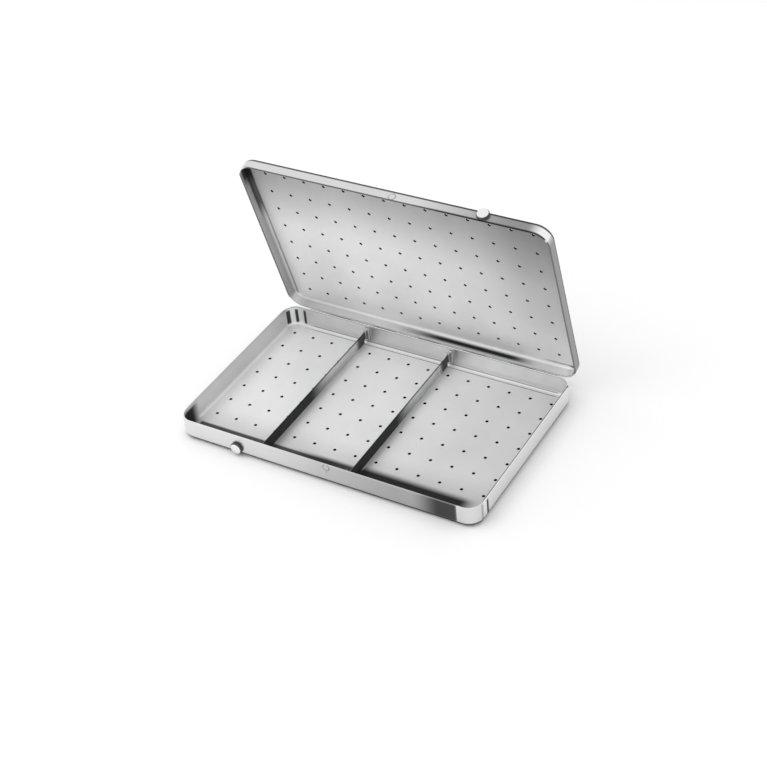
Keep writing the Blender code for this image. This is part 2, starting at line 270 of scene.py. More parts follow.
def node_group(kind, inputs, outputs):
    """Makes a node group under its function's name, unless the file already has it.

    An input is given by its default number or by its type, an output by its type.
    """

    def make(build):
        tree = bpy.data.node_groups.new(build.__name__, kind)
        for side, sockets in (("INPUT", inputs), ("OUTPUT", outputs)):
            for label, value in sockets.items():
                socket = value if isinstance(value, str) else type(value).__name__.title()
                made = tree.interface.new_socket(
                    name=label, in_out=side, socket_type=f"NodeSocket{socket}",
                )
                if socket != value:
                    made.default_value = value
        start, end = tree.nodes.new("NodeGroupInput"), tree.nodes.new("NodeGroupOutput")
        build(Tree(tree), start.outputs, end.inputs)
        return tree

    return lambda build: lambda: bpy.data.node_groups.get(build.__name__) or make(build)


# ---- finishes


@node_group(
    "ShaderNodeTree", {"Scale": 900.0, "Stretch": 12.0}, {"Height": "Float", "Mask": "Float"},
)
def polishing_grain(tree, given, put):
    """Fine polishing lines along X, as a height and as a mask."""
    place = tree.add("ShaderNodeTexCoord").outputs["Object"]
    split = tree.add("ShaderNodeSeparateXYZ", {0: place}).outputs
    squeezed = tree.vector(
        X=tree.maths("DIVIDE", split["X"], given["Stretch"]), Y=split["Y"], Z=split["Z"],
    )
    lines = tree.add("ShaderNodeTexNoise", {
        "Vector": squeezed, "Scale": given["Scale"], "Detail": 3.0, "Roughness": 0.6,
    })
    spots = tree.add("ShaderNodeTexNoise", {"Vector": place, "Scale": 70.0, "Detail": 3.0})
    tree.link(lines.outputs["Fac"], put["Height"])
    tree.link(tree.ranged(spots.outputs["Fac"], start=0.35, end=0.65), put["Mask"])


@node_group("ShaderNodeTree", {"Scale": 22.0}, {"Height": "Float", "Stain": "Float"})
def sheet_waviness(tree, given, put):
    """The slow unevenness of thin drawn sheet, as a height, and soft stains as a mask."""
    place = tree.add("ShaderNodeTexCoord").outputs["Object"]
    waves = tree.add("ShaderNodeTexNoise", {
        "Vector": place, "Scale": given["Scale"], "Detail": 1.0, "Roughness": 0.4,
    })
    stains = tree.add("ShaderNodeTexNoise", {"Vector": place, "Scale": 35.0, "Detail": 5.0})
    tree.link(waves.outputs["Fac"], put["Height"])
    tree.link(tree.ranged(stains.outputs["Fac"], start=0.4, end=0.75), put["Stain"])


# The "line" attribute carries painted shade lines
MASKS = {"Edge": "cut_edge", "Bore": "bore", "Wall": "wall", "Line": "line", "Inside": "inside"}


@node_group("ShaderNodeTree", {}, dict.fromkeys(MASKS, "Float"))
def worked_sheet(tree, given, put):
    """Where a piece was cut, punched or drawn, where it carries painted shade lines, and which side
    is inside, from its own attributes.
    """
    for mask, attribute in MASKS.items():
        value = tree.add("ShaderNodeAttribute", attribute_name=attribute)
        tree.link(value.outputs["Fac"], put[mask])


CORNERS = ("Low", "High", "Soft Low", "Soft High")


@node_group(
    "ShaderNodeTree", {**dict.fromkeys(("Place", *CORNERS), "Vector"), "Strength": 1.0},
    {"Mask": "Float"},
)
def darkened_place(tree, given, put):
    """A box of painted shade and painted reflection between two corners, with its own softness on
    each side.
    """

    def vectors(operation, first, second):
        node = tree.add("ShaderNodeVectorMath", {0: first, 1: second}, operation=operation)
        return node.outputs[0]

    mask = given["Strength"]
    for upper, lower, soft in (("Place", "Low", "Soft Low"), ("High", "Place", "Soft High")):
        gone = vectors("DIVIDE", vectors("SUBTRACT", given[upper], given[lower]), given[soft])
        split = tree.add("ShaderNodeSeparateXYZ", {0: vectors("ADD", gone, (1, 1, 1))}).outputs
        for axis in "XYZ":
            mask = tree.times(mask, tree.ranged(split[axis], interpolation_type="SMOOTHSTEP"))
    tree.link(mask, put["Mask"])


def steel(
    name, base_colour, roughness, drawn_colour=None, drawn_roughness=None, stretch=12.0,
    wave=1.0, places=(), shut=False, scatter=0.0,
):
    """Stainless steel with grain, faint stains, bright cut edges, and painted shade and painted
    reflection: dark lines, dark hole bores and dark boxes.
    """
    made = bpy.data.materials.get(name)
    if made:
        return made
    finish = settings("finishes")
    material = bpy.data.materials.new(name)
    material.use_nodes = True
    tree = Tree(material.node_tree)
    shader = material.node_tree.nodes["Principled BSDF"].inputs
    shader["Specular IOR Level"].default_value = 0.0
    grain, waves, worked = (
        tree.add("ShaderNodeGroup", node_tree=group())
        for group in (polishing_grain, sheet_waviness, worked_sheet)
    )
    grain.inputs["Stretch"].default_value = stretch
    worked = worked.outputs

    # What stays unpainted, after the painted shade lines and each box of painted shade and painted
    # reflection have taken their share
    place = tree.add("ShaderNodeTexCoord").outputs["Object"]
    if shut:
        pin, turn = hinge_place(), Matrix.Rotation(open_angle(), 3, "X")
        place = tree.add("ShaderNodeMapping", {
            "Vector": place, "Location": pin - turn @ pin, "Rotation": (open_angle(), 0, 0),
        }).outputs[0]
    sides = {"inside": worked["Inside"], "outside": tree.rest(worked["Inside"])}
    bright = tree.rest(worked["Line"])
    for side, boxes in dict(places).items():
        for strength, *corners in boxes:
            box = tree.add("ShaderNodeGroup", node_tree=darkened_place())
            tree.link(place, box.inputs["Place"])
            for socket, corner in zip(CORNERS, corners):
                box.inputs[socket].default_value = [value * MM for value in corner]
            box.inputs["Strength"].default_value = strength
            mask = box.outputs["Mask"]
            if side in sides:
                mask = tree.times(mask, sides[side])
            bright = tree.times(bright, tree.rest(mask))
    shaded = tree.rest(bright)

    colour_now = tree.mix(
        worked["Wall"], (*base_colour, 1), (*(drawn_colour or base_colour), 1),
    )
    colour_now = tree.mix(
        waves.outputs["Stain"], colour_now, (0.94, 0.94, 0.94, 1), blend_type="MULTIPLY",
    )
    # Over the steel: bright cut edges, the painted shade, and the painted shade of the hole bores
    for mask, tint in (
        (worked["Edge"], finish.edge_colour), (shaded, finish.shade_colour),
        (worked["Bore"], finish.bore_colour),
    ):
        colour_now = tree.mix(mask, colour_now, (*tint, 1))
    tree.link(colour_now, shader["Base Color"])
    # Painted shade and the painted dark bores mirror less, and a blasted plate scatters more than a
    # drawn wall
    metal = tree.times(tree.rest(tree.times(shaded, shaded)), tree.rest(worked["Bore"]))
    scattered = tree.ranged(worked["Wall"], 1.0 - scatter, 1.0)
    tree.link(tree.times(metal, scattered), shader["Metallic"])

    patchy = tree.ranged(grain.outputs["Mask"], roughness * 0.94, roughness * 1.06)
    drawn = tree.ranged(worked["Wall"], patchy, drawn_roughness or roughness)
    tree.link(tree.ranged(worked["Bore"], drawn, finish.bore_roughness), shader["Roughness"])

    wavy = tree.add("ShaderNodeBump", {
        "Strength": finish.waviness * wave, "Distance": 0.6 * MM, "Height": waves.outputs["Height"],
    })
    grained = tree.add("ShaderNodeBump", {
        "Strength": finish.grain, "Distance": 0.02 * MM, "Height": grain.outputs["Height"],
        "Normal": wavy.outputs[0],
    })
    tree.link(grained.outputs[0], shader["Normal"])
    return material


# Places of painted shade and painted reflection in millimetres, by the side of the sheet: strength,
# low and high corner, and how softly they fade beyond each corner. The lid's are given on the shut
# lid.
TRAY_PAINTED_SHADE = {
    "inside": (
        # Painted shadow on the floor along the front wall, and painted shade in the front left
        # corner
        (0.9, (-70, -37, 0), (-12, -35.3, 1.4), (2, 9, 1), (24, 1.2, 1)),
        (0.92, (-2, -37, 0), (13, -34.9, 1.4), (24, 9, 1), (0.2, 2.6, 1)),
        (0.98, (13, -37, 0), (60, -34.4, 1.4), (0.2, 9, 1), (8, 4.2, 1)),
        (0.97, (-76, -50, 1), (-72.6, -37, 8), (1, 1, 1), (1.5, 6, 2)),
        # Painted shade on the left wall, three bars of painted reflection in the rear left corner,
        # and painted shade on the rear wall
        (0.2, (-76, -50, 1.5), (-73.2, 42, 11), (1, 1, 1), (0.5, 4, 1)),
        (0.95, (-75, 41.9, 2), (-72, 43.4, 8.6), (1, 0.5, 1), (1, 0.4, 0.8)),
        (0.95, (-70.3, 44, 2), (-69.3, 48, 8.6), (0.4, 1, 1), (0.4, 1, 0.8)),
        (0.95, (-66, 45, 2), (-65, 48, 8.6), (0.4, 1, 1), (0.4, 1, 0.8)),
        (0.24, (-64, 45, 1.5), (-10, 48, 11), (4, 1, 1), (50, 1, 1)),
        # Painted shade: the floor darker at its front and right, and two dark lines along the bend
        # at the rear
        (0.26, (-76, -50, 0.5), (80, -38, 0.7), (1, 1, 1), (1, 20, 0.2)),
        (0.1, (-50, -50, 0.5), (80, 60, 0.7), (30, 1, 1), (1, 1, 0.2)),
        (0.14, (55, -50, 0.5), (80, 60, 0.7), (50, 1, 1), (1, 1, 0.2)),
        (0.7, (-58, 43.8, 0.5), (66, 44, 0.8), (8, 0.25, 0.2), (2, 0.25, 0.2)),
        (0.6, (-58, 45, 1.25), (66, 46.5, 1.45), (8, 0.5, 0.25), (2, 0.5, 0.3)),
        # Painted shadow on the floor beside the dividers
        (0.22, (-31.8, -50, 0), (-31, 20, 1), (1, 1, 1), (3, 30, 1)),
        (0.22, (12.4, -50, 0), (13.2, 20, 1), (1, 1, 1), (3, 30, 1)),
    ),
    "outside": (
        # Painted dark reflection on the front wall, and painted shade on the corner on its right
        (0.55, (56, -48, 3), (64, -45, 10), (105, 1, 6), (0.5, 1, 1)),
        (0.88, (57, -48, 2.8), (64.8, -45, 10), (14, 1, 3), (0.5, 1, 1)),
        (0.15, (-76, -48, 0), (20, -45, 10), (1, 1, 1), (40, 1, 1)),
        (0.2, (65.2, -48, 0), (76, -41, 10), (0.3, 1, 1), (1, 1, 1)),
        (0.4, (73, -41.2, 1.5), (75, -40.4, 9.6), (1, 0.5, 1), (1, 0.5, 0.5)),
        (0.92, (73, -37, 1.8), (75, -35.9, 8.8), (1, 0.3, 1), (1, 0.5, 0.6)),
        # Painted shade on the underside and on the right and left walls
        (0.34, (-76, -50, -1), (76, 50, 0.05), (1, 1, 1), (1, 1, 0.6)),
        (0.08, (73.6, -36, 0), (76, 50, 10.2), (0.5, 2, 1), (1, 1, 0.2)),
        (0.8, (-76, -36, 9.9), (-73.9, 50, 12), (1, 8, 0.3), (0.3, 1, 1)),
    ),
    "both": (
        # A painted dark line along the inner edge of the right wall's rim
        (0.85, (73.5, -38, 9.6), (73.9, 44, 10.5), (0.05, 4, 0.2), (0.1, 2, 1)),
    ),
}
LID_PAINTED_SHADE = {
    "inside": (
        # Painted shade and painted reflection on the left wall, from black at the front to grey
        (0.95, (-76, -50, 8.6), (-73, -38, 12.2), (1, 1, 1.2), (1.2, 8, 1)),
        (0.8, (-76, -50, 10.6), (-73.4, -20, 12.2), (1, 1, 1), (0.8, 12, 1)),
        (0.4, (-76, -50, 6), (-74, 45, 11), (1, 1, 1), (0.5, 3, 1.5)),
        # A band of painted dark reflection on the rear wall, and painted shade in the rear right
        # corner
        (0.96, (8, 46.2, 9), (40, 48, 10), (34, 0.6, 1.8), (18, 1, 1.6)),
        (0.8, (12, 46.2, 9.2), (40, 48, 9.9), (20, 0.6, 0.7), (10, 1, 0.7)),
        (0.14, (-70, 45.5, 6), (60, 48, 12), (3, 0.6, 1), (10, 1, 0.8)),
        (0.8, (62, 45, 11.7), (71, 45.5, 12.3), (8, 0.4, 0.3), (1, 0.4, 0.2)),
        (0.85, (71.6, 43.6, 8), (76, 44.6, 12), (0.4, 0.6, 1), (1, 0.5, 0.6)),
        # Painted shade on the plate: its front, left and right parts, and the bend on the left
        (0.3, (74, -50, 11), (80, -20, 13), (90, 1, 1), (1, 65, 1)),
        (0.46, (-80, -50, 11), (80, -44, 13), (1, 1, 1), (1, 44, 1)),
        (0.12, (-80, -50, 11), (-56, 60, 13), (1, 1, 1), (30, 1, 1)),
        (0.22, (64, -50, 11), (80, 10, 13), (34, 1, 1), (1, 40, 1)),
        (0.16, (-80, -50, 11), (-72, -42, 13), (1, 1, 1), (24, 30, 1)),
        (0.5, (-73.4, -40, 11.9), (-72.7, 44, 12.5), (0.3, 4, 0.3), (0.3, 2, 0.3)),
    ),
    "outside": (
        # Painted shade on the plate, then the front wall, and the right and left walls
        (0.34, (-76, -50, 12.95), (76, 50, 14), (1, 1, 0.6), (1, 1, 1)),
        (0.22, (-80, -48, 7.2), (24, -46, 13), (1, 1, 0.3), (30, 1, 1)),
        (0.7, (60, -48, 6), (65, -46.8, 13), (50, 1, 1), (7, 1, 1)),
        (0.66, (74.4, -40, 7.4), (76, 50, 13), (0.5, 6, 0.3), (1, 1, 1)),
        (0.85, (-76, -42, 6), (-74.5, 50, 7.5), (1, 6, 1), (0.3, 1, 0.4)),
    ),
    "both": (
        # Painted dark lines along the rim, seen against the plate
        (0.85, (-68, -48, 6.8), (76, -45, 7.25), (4, 1, 0.1), (1, 1, 0.2)),
        (0.7, (30, -48, 6.8), (76, -45, 7.5), (20, 1, 0.1), (1, 1, 0.3)),
        (0.8, (74, -45, 6.8), (76, 42, 7.3), (0.1, 3, 0.1), (1, 2, 0.15)),
    ),
}


def strip_places():
    """Painted shade on the dividers' right faces: black at the front, with a dark foot at the rear
    ear.
    """
    places, thick = [], settings("fittings").strip_sheet / MM
    for node in ("divider_left", "divider_right"):
        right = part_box(node)[0].x / MM + thick
        low_x, high_x = right - 0.35, right + 0.2
        places += [
            (0.96, (low_x, -50, 0), (high_x, -4, 7), (0.1, 1, 1), (0.1, 20, 1)),
            (0.9, (low_x, 40, 0), (high_x, 44.8, 6.5), (0.1, 4, 1), (0.5, 0.5, 1.5)),
            (0.75, (right - 0.8, -50, 6.0), (high_x, 41, 9), (0.1, 1, 0.1), (0.1, 2, 1)),
        ]
    return {"both": places}


def shell_steel(name, places, shut=False):
    finish = settings("finishes")
    return steel(
        name, finish.plate_colour, finish.sheet_roughness, finish.wall_colour,
        finish.wall_roughness, places=places, shut=shut, scatter=finish.scatter,
    )


def turned_steel():
    finish = settings("finishes")
    return steel(
        "turned_bright_steel", finish.turned_colour, finish.turned_roughness, stretch=1.0,
        wave=0.0,
    )


# ---- mesh helpers


QUARTER = math.pi / 2


def arc(radius, start, turn, steps, x=0.0, y=0.0):
    """Points along an arc round (x, y), with both of its ends."""
    turns = [start + turn * step / steps for step in range(steps + 1)]
    return [(x + radius * math.cos(now), y + radius * math.sin(now)) for now in turns]


def hinge_place():
    return Vector(HINGE["pos_m"])


def open_angle():
    return -math.radians(HINGE["range_deg"][0])


def swing_open(mesh):
    """Turns a mesh that was modelled shut into the lid's place at rest."""
    pin = hinge_place()
    turn = Matrix.Rotation(-open_angle(), 4, "X")
    mesh.transform(Matrix.Translation(pin) @ turn @ Matrix.Translation(-pin))


def shade(mesh):
    mesh.shade_smooth()
    mesh.set_sharp_from_angle(angle=math.radians(35.0))


def add_object(name, data):
    obj = bpy.data.objects.new(name, data)
    bpy.context.scene.collection.objects.link(obj)
    return obj


def piece(name, bm, material):
    """Turns a bmesh into an object of the scene."""
    bmesh.ops.remove_doubles(bm, verts=bm.verts, dist=0.0001 * MM)
    bmesh.ops.recalc_face_normals(bm, faces=bm.faces)
    mesh = bpy.data.meshes.new(name)
    bm.to_mesh(mesh)
    bm.free()
    mesh.materials.append(material)
    shade(mesh)
    return add_object(name, mesh)


def applied(obj):
    """Replaces an object's mesh by the result of its modifiers."""
    bpy.context.view_layer.update()
    graph = bpy.context.evaluated_depsgraph_get()
    mesh = bpy.data.meshes.new_from_object(obj.evaluated_get(graph), depsgraph=graph)
    obj.modifiers.clear()
    obj.data = mesh
    mesh.name = obj.name
    shade(mesh)
    return obj


def run_nodes(obj, group, values):
    """Applies a node group, with its named inputs set by their sockets' identifiers."""
    modifier = obj.modifiers.new(group.name, "NODES")
    modifier.node_group = group
    for item in group.interface.items_tree:
        if item.item_type == "SOCKET" and item.in_out == "INPUT" and item.name in values:
            modifier[item.identifier] = values[item.name]
    applied(obj)


def settle(obj, body, node):
    """Puts a finished piece on its body in place of its solid."""
    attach(obj, body)
    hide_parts(node)


def loft(bm, rings, closed=True):
    """Joins rings of points, each with as many points, by quads."""
    rows = [[bm.verts.new(point) for point in ring] for ring in rings]
    for first, second in zip(rows, rows[1:]):
        count = len(first)
        for index in range(count if closed else count - 1):
            after = (index + 1) % count
            bm.faces.new((first[index], first[after], second[after], second[index]))
    return rows


def turned(name, profile, steps, material, shade_line_side=lambda radius, height: 0.0):
    """A solid turned about Z from (radius, height) points; the first and last lie on the axis."""
    bm = bmesh.new()
    rows = loft(bm, [
        [(x, y, height) for x, y in arc(radius, 0, 2 * math.pi, steps)[:-1]]
        for radius, height in profile[1:-1]
    ])
    for end in (0, -1):
        row, tip = rows[end], bm.verts.new((0, 0, profile[end][1]))
        for index in range(steps):
            bm.faces.new((row[index], row[(index + 1) % steps], tip))
    # Painted shade lines, where shade_line_side puts them
    lines = bm.verts.layers.float.new("line")
    for vert in bm.verts:
        vert[lines] = shade_line_side(math.hypot(vert.co.x, vert.co.y), vert.co.z)
    return piece(name, bm, material)


# ---- drawn shells


# Middle and half width of the painted shade line on a bend, in degrees that the sheet has turned,
# and of the painted shade ring round a dimple, in parts of the dimple's radius
BEND_SHADE_LINE = (54.0, 34.0)
DIMPLE_SHADE_LINE = (0.88, 0.16)
# Points closer than this lie on the same skin
TOUCH = 0.001 * MM


def hump(value, middle, half, power=1):
    """1 in the middle, falling to 0 at half the width on either side."""
    return max(0.0, 1 - (abs(value - middle) / half) ** power)


def across(middle, reach, steps):
    """Evenly spaced places over a dimple."""
    return [middle + reach * (step / steps - 1) for step in range(2 * steps + 1)]


def ring_points(half_x, half_y, radius, inset, front_stops):
    """A rounded rectangle, with extra points along its front side."""
    points = []
    for sign_x, sign_y, quarters in ((1, -1, -1), (1, 1, 0), (-1, 1, 1), (-1, -1, 2)):
        points += arc(
            radius - inset, quarters * QUARTER, QUARTER, 14,
            sign_x * (half_x - radius), sign_y * (half_y - radius),
        )
    return points + [(x, -half_y + inset) for x in front_stops]


def skin_profile(height, dimple_z):
    """(inset, height) points over the sheet, from inside the plate up over the rim and down."""
    sizes = settings("shells")
    sheet, bend, rim = sizes.sheet, sizes.bend_radius, sizes.rim_round
    hold, steps = 0.5 * MM, 7
    levels = [
        z for z in across(dimple_z, sizes.dimple_radius, 8)
        if bend + 1.2 * hold < z < height - rim - 0.1 * MM
    ]
    inner = [
        (bend + hold, sheet), *arc(bend - sheet, -QUARTER, -QUARTER, steps, bend, bend),
        (sheet, bend + hold), *((sheet, z) for z in levels),
    ]
    edge = arc(rim, 0, QUARTER, 4, sheet - rim, height - rim)
    edge += [(sheet - inset, z) for inset, z in reversed(edge)]
    outer = [
        *((0, z) for z in reversed(levels)), (0, bend + hold),
        *arc(bend, math.pi, QUARTER, steps, bend, bend), (bend + hold, 0),
    ]
    return inner, edge, outer


def drawn_shell(name, inset, height, dimple_z, dimple_height, material):
    """A tray drawn from one sheet: plate at z = 0, walls up, and a dimple in its front wall."""
    sizes, finish = settings("shells"), settings("finishes")
    half_x, half_y = sizes.case_length / 2 - inset, sizes.case_width / 2 - inset
    corner, reach, dimple_x = sizes.corner_radius - inset, sizes.dimple_radius, sizes.dimple_x
    stops = [
        -half_x * 0.6, dimple_x - 1.5 * reach, *across(dimple_x, reach, 10),
        dimple_x + 1.5 * reach, half_x * 0.6,
    ]
    inner, edge, outer = skin_profile(height, dimple_z)
    profile = inner + edge + outer
    bm = bmesh.new()
    cut_edge, wall, line, inside = (
        bm.verts.layers.float.new(mask) for mask in ("cut_edge", "wall", "line", "inside")
    )
    rings = []
    for depth, z in profile:
        ring = []
        for x, y in ring_points(half_x, half_y, corner, depth, stops):
            away = math.hypot(x - dimple_x, z - dimple_z) / reach
            if y < -half_y + depth + 0.01 * MM and away < 1:
                y -= dimple_height * (1 - away * away) ** 1.5
            ring.append((x, y, z))
        rings.append(ring)
    rows = loft(bm, rings)
    edge_from, outer_from = len(inner), len(inner) + len(edge)
    for number, (row, (_, z)) in enumerate(zip(rows, profile)):
        is_outer = number >= outer_from
        # Painted shade lines: round the outer bend, along the rim's inner edge, and round the
        # dimple
        bent = math.degrees(math.acos(1 - min(z / sizes.bend_radius, 1)))
        dark = min(1.6 * hump(bent, *BEND_SHADE_LINE, power=2), finish.bend_line) if is_outer else 0.0
        if number == edge_from:
            dark = finish.rim_line
        for vert in row:
            vert[wall] = min(max(z - sizes.sheet, 0) / (sizes.bend_radius - sizes.sheet), 1)
            vert[inside] = 1.0 if number < edge_from + 2 else 0.0
            vert[cut_edge] = 1.0 if edge_from <= number < outer_from else 0.0
            vert[line] = dark
            if is_outer and vert.co.y < 0:
                away = math.hypot(vert.co.x - dimple_x, z - dimple_z) / reach
                vert[line] = max(dark, finish.dimple_line * hump(away, *DIMPLE_SHADE_LINE))
    bm.faces.new(rows[0])
    bm.faces.new(rows[-1])
    return piece(name, bm, material)


@node_group(
    "GeometryNodeTree",
    {
        "Shell": "Geometry", "Columns": 14, "Rows": 8, "Pitch X": 0.01, "Pitch Y": 0.011,
        "Diameter": 0.0015, "Lip": 0.0004, "Sheet": 0.0006, "Plate Middle": 0.0003,
        "Sides": 20, "Material": "Material",
    },
    {"Shell": "Geometry"},
)
def punched_field(tree, given, put):
    """Punches a grid of round holes through a plate, countersunk on its inside."""

    def spread(count, pitch):
        return tree.times(tree.maths("SUBTRACT", count, 1.0), pitch)

    grid = tree.add("GeometryNodeMeshGrid", {
        "Size X": spread(given["Columns"], given["Pitch X"]),
        "Size Y": spread(given["Rows"], given["Pitch Y"]),
        "Vertices X": given["Columns"], "Vertices Y": given["Rows"],
    })
    radius = tree.maths("SUBTRACT", tree.maths("DIVIDE", given["Diameter"], 2.0), given["Lip"])
    drill = tree.add("GeometryNodeMeshCylinder", {
        "Vertices": given["Sides"], "Radius": radius, "Depth": tree.times(given["Sheet"], 2.0),
    })
    tall = tree.times(given["Lip"], 2.0)
    sink = tree.add("GeometryNodeMeshCone", {
        "Vertices": given["Sides"], "Radius Top": tree.maths("ADD", radius, tall),
        "Radius Bottom": radius, "Depth": tall,
    })
    half = tree.maths("DIVIDE", given["Sheet"], 2.0)
    lifted = tree.moved(sink.outputs["Mesh"], Z=tree.maths("SUBTRACT", half, given["Lip"]))
    tool = tree.add("GeometryNodeMeshBoolean", operation="UNION", solver="EXACT")
    tree.link(drill.outputs["Mesh"], tool.inputs["Mesh 2"])
    tree.link(lifted, tool.inputs["Mesh 2"])
    marked = tree.add("GeometryNodeStoreNamedAttribute", {
        "Geometry": tool.outputs["Mesh"], "Name": "bore", "Value": 1.0,
    }, data_type="FLOAT", domain="FACE")
    spots = tree.repeated(marked.outputs[0], grid.outputs["Mesh"])
    field = tree.moved(spots, Z=given["Plate Middle"])
    real = tree.add("GeometryNodeRealizeInstances", {0: field})
    cut = tree.add("GeometryNodeMeshBoolean", operation="DIFFERENCE", solver="EXACT")
    tree.link(given["Shell"], cut.inputs["Mesh 1"])
    tree.link(real.outputs[0], cut.inputs["Mesh 2"])
    tree.link(tree.painted(cut.outputs["Mesh"], given["Material"]), put["Shell"])


def punch(obj, pitch_x, pitch_y, material):
    holes, sizes = settings("holes"), settings("shells")
    run_nodes(obj, punched_field(), {
        "Columns": holes.columns, "Rows": holes.rows, "Pitch X": pitch_x, "Pitch Y": pitch_y,
        "Diameter": holes.diameter, "Lip": holes.lip, "Sheet": sizes.sheet,
        "Plate Middle": sizes.sheet / 2, "Sides": holes.sides, "Material": material,
    })
    # The punched rims of the plate's inner skin belong to the inside as well
    for vert, mark in zip(obj.data.vertices, obj.data.attributes["inside"].data):
        if abs(vert.co.z - sizes.sheet) < TOUCH:
            mark.value = 1.0
        elif abs(vert.co.z) < TOUCH:
            mark.value = 0.0


def lid_rim():
    """Height of the shut lid's rim."""
    return settings("shells").case_height - settings("shells").lid_depth


class CONTAINER_OT_tray(bpy.types.Operator):
    """Builds the perforated tray."""

    bl_idname = "container.tray"
    bl_label = "Perforated tray"

    def execute(self, context):
        sizes, holes = settings("shells"), settings("holes")
        material = shell_steel("satin_tray_steel", TRAY_PAINTED_SHADE)
        dimple_z = (lid_rim() + sizes.tray_height) / 2 - sizes.dimple_shift
        tray = drawn_shell(
            "tray", sizes.sheet + sizes.nesting_gap, sizes.tray_height, dimple_z,
            sizes.tray_dimple, material,
        )
        punch(tray, holes.tray_pitch_x, holes.tray_pitch_y, material)
        settle(tray, "base", "base_tray")
        return {"FINISHED"}


class CONTAINER_OT_lid(bpy.types.Operator):
    """Builds the perforated lid, open at rest."""

    bl_idname = "container.lid"
    bl_label = "Perforated lid"

    def execute(self, context):
        sizes, holes = settings("shells"), settings("holes")
        material = shell_steel("satin_lid_steel", LID_PAINTED_SHADE, shut=True)
        top = sizes.case_height
        dimple_z = top - (lid_rim() + sizes.tray_height) / 2 - sizes.dimple_shift
        lid = drawn_shell("lid", 0.0, sizes.lid_depth, dimple_z, sizes.lid_dimple, material)
        punch(lid, holes.lid_pitch_x, holes.lid_pitch_y, material)
        # Drawn like a tray, then turned over by mirroring
        mirrored = Matrix.Scale(-1, 4, (0, 0, 1))
        lid.data.transform(Matrix.Translation((0, 0, top)) @ mirrored)
        lid.data.flip_normals()
        shade(lid.data)
        swing_open(lid.data)
        settle(lid, "lid", "lid_shell")
        return {"FINISHED"}


# ---- dividers


def divider_path(left_x, end_y, bend, ear):
    """Plan points of a divider's left skin: front ear, bend, strip, bend, rear ear."""
    half = [
        (left_x + ear, -end_y),
        *arc(bend, -QUARTER, -QUARTER, 10, left_x + bend, -end_y + bend),
    ]
    # Closest where the strip's top sweeps up to the ear
    straight = (0.05, 0.3, 0.6, 1.0, 1.4, 1.8, 2.2, 2.6, 3.0, 4.0, 8.0, 20.0)
    half += [(left_x, -end_y + bend + distance * MM) for distance in straight]
    return half + [(x, -y) for x, y in reversed(half)]


def divider(name, left_x, material):
    """A strip on edge between the front and rear wall, with a taller welded ear at each end."""
    fits, sizes = settings("fittings"), settings("shells")
    inner_y = TRAY_HIGH.y - sizes.sheet
    end_y = inner_y - fits.seat_gap
    foot = sizes.sheet + fits.seat_gap
    sweep = fits.ear_top - foot - fits.strip_height
    notch = sizes.bend_radius - sizes.sheet + fits.seat_gap
    bm = bmesh.new()
    lower, upper = [], []
    for x, y in divider_path(left_x, end_y, fits.strip_bend, fits.ear_width):
        run = min(max(end_y - fits.strip_bend - abs(y), 0), sweep)
        top = fits.ear_top - math.sqrt(sweep ** 2 - (sweep - run) ** 2)
        lower.append((x, y, foot + notch if abs(y) > inner_y - notch else foot))
        upper.append((x, y, top))
    loft(bm, [lower, upper], closed=False)
    strip = piece(name, bm, material)
    outward = max(strip.data.polygons, key=lambda face: face.area).normal.x
    thick = strip.modifiers.new("Sheet", "SOLIDIFY")
    thick.thickness = fits.strip_sheet
    thick.offset = -1 if outward < 0 else 1
    thick.use_even_offset = True
    rim = strip.modifiers.new("Edges", "BEVEL")
    rim.width = fits.strip_round
    rim.segments = 2
    rim.limit_method = "ANGLE"
    rim.angle_limit = math.radians(50)
    return applied(strip)


class CONTAINER_OT_dividers(bpy.types.Operator):
    """Builds the two low dividers with their welded ears."""

    bl_idname = "container.dividers"
    bl_label = "Dividers"

    def execute(self, context):
        finish = settings("finishes")
        material = steel(
            "polished_strip_steel", finish.strip_colour, finish.strip_roughness, wave=0.5,
            places=strip_places(),
        )
        for node in ("divider_left", "divider_right"):
            low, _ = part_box(node)
            strip = divider(f"strip_{node.split('_')[1]}", low.x, material)
            settle(strip, "base", node)
        return {"FINISHED"}


# ---- studs and hinge


def stud(name, x, front, z, material):
    """A domed finger stud with its head to the front and its peened end inside the wall."""
    fits = settings("fittings")
    head, tall, shank = fits.stud_diameter / 2, fits.stud_height, fits.shank_radius
    dome_foot = 0.55 * MM
    inside = -fits.seat_gap - settings("shells").sheet
    profile = [
        (head * wide, dome_foot + (tall - dome_foot) * high)
        for wide, high in arc(1.0, QUARTER, -QUARTER, 14)
    ]
    profile += [
        # The head's rounded foot, then the shank and its peened end
        (head, 0.25 * MM), (head - 0.08 * MM, 0.08 * MM), (head - 0.25 * MM, 0), (shank, 0),
        (shank, inside), (shank + 0.35 * MM, inside), (shank + 0.25 * MM, inside - 0.1 * MM),
        (shank * 0.5, inside - 0.16 * MM), (0, inside - 0.16 * MM),
    ]
    # The side of the head gets a painted shade line
    dark = settings("finishes").stud_line
    obj = turned(
        name, profile, 48, material,
        lambda radius, height: dark if radius > head * 0.9 and height < 1.1 * MM else 0.0,
    )
    place = Matrix.Translation((x, front - fits.seat_gap, z))
    obj.data.transform(place @ Matrix.Rotation(QUARTER, 4, "X"))
    return obj


class CONTAINER_OT_studs(bpy.types.Operator):
    """Builds the two turned finger studs."""

    bl_idname = "container.studs"
    bl_label = "Finger studs"

    def execute(self, context):
        sizes, fits, material = settings("shells"), settings("fittings"), turned_steel()
        front = -sizes.case_width / 2
        low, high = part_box("base_stud")
        lower = stud(
            "tray_stud", (low.x + high.x) / 2, front + sizes.sheet + sizes.nesting_gap,
            (low.z + high.z) / 2, material,
        )
        settle(lower, "base", "base_stud")
        low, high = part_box("lid_stud")
        upper = stud(
            "lid_stud_head", (low.x + high.x) / 2, front, lid_rim() + fits.lid_stud_rise, material,
        )
        swing_open(upper.data)
        settle(upper, "lid", "lid_stud")
        return {"FINISHED"}


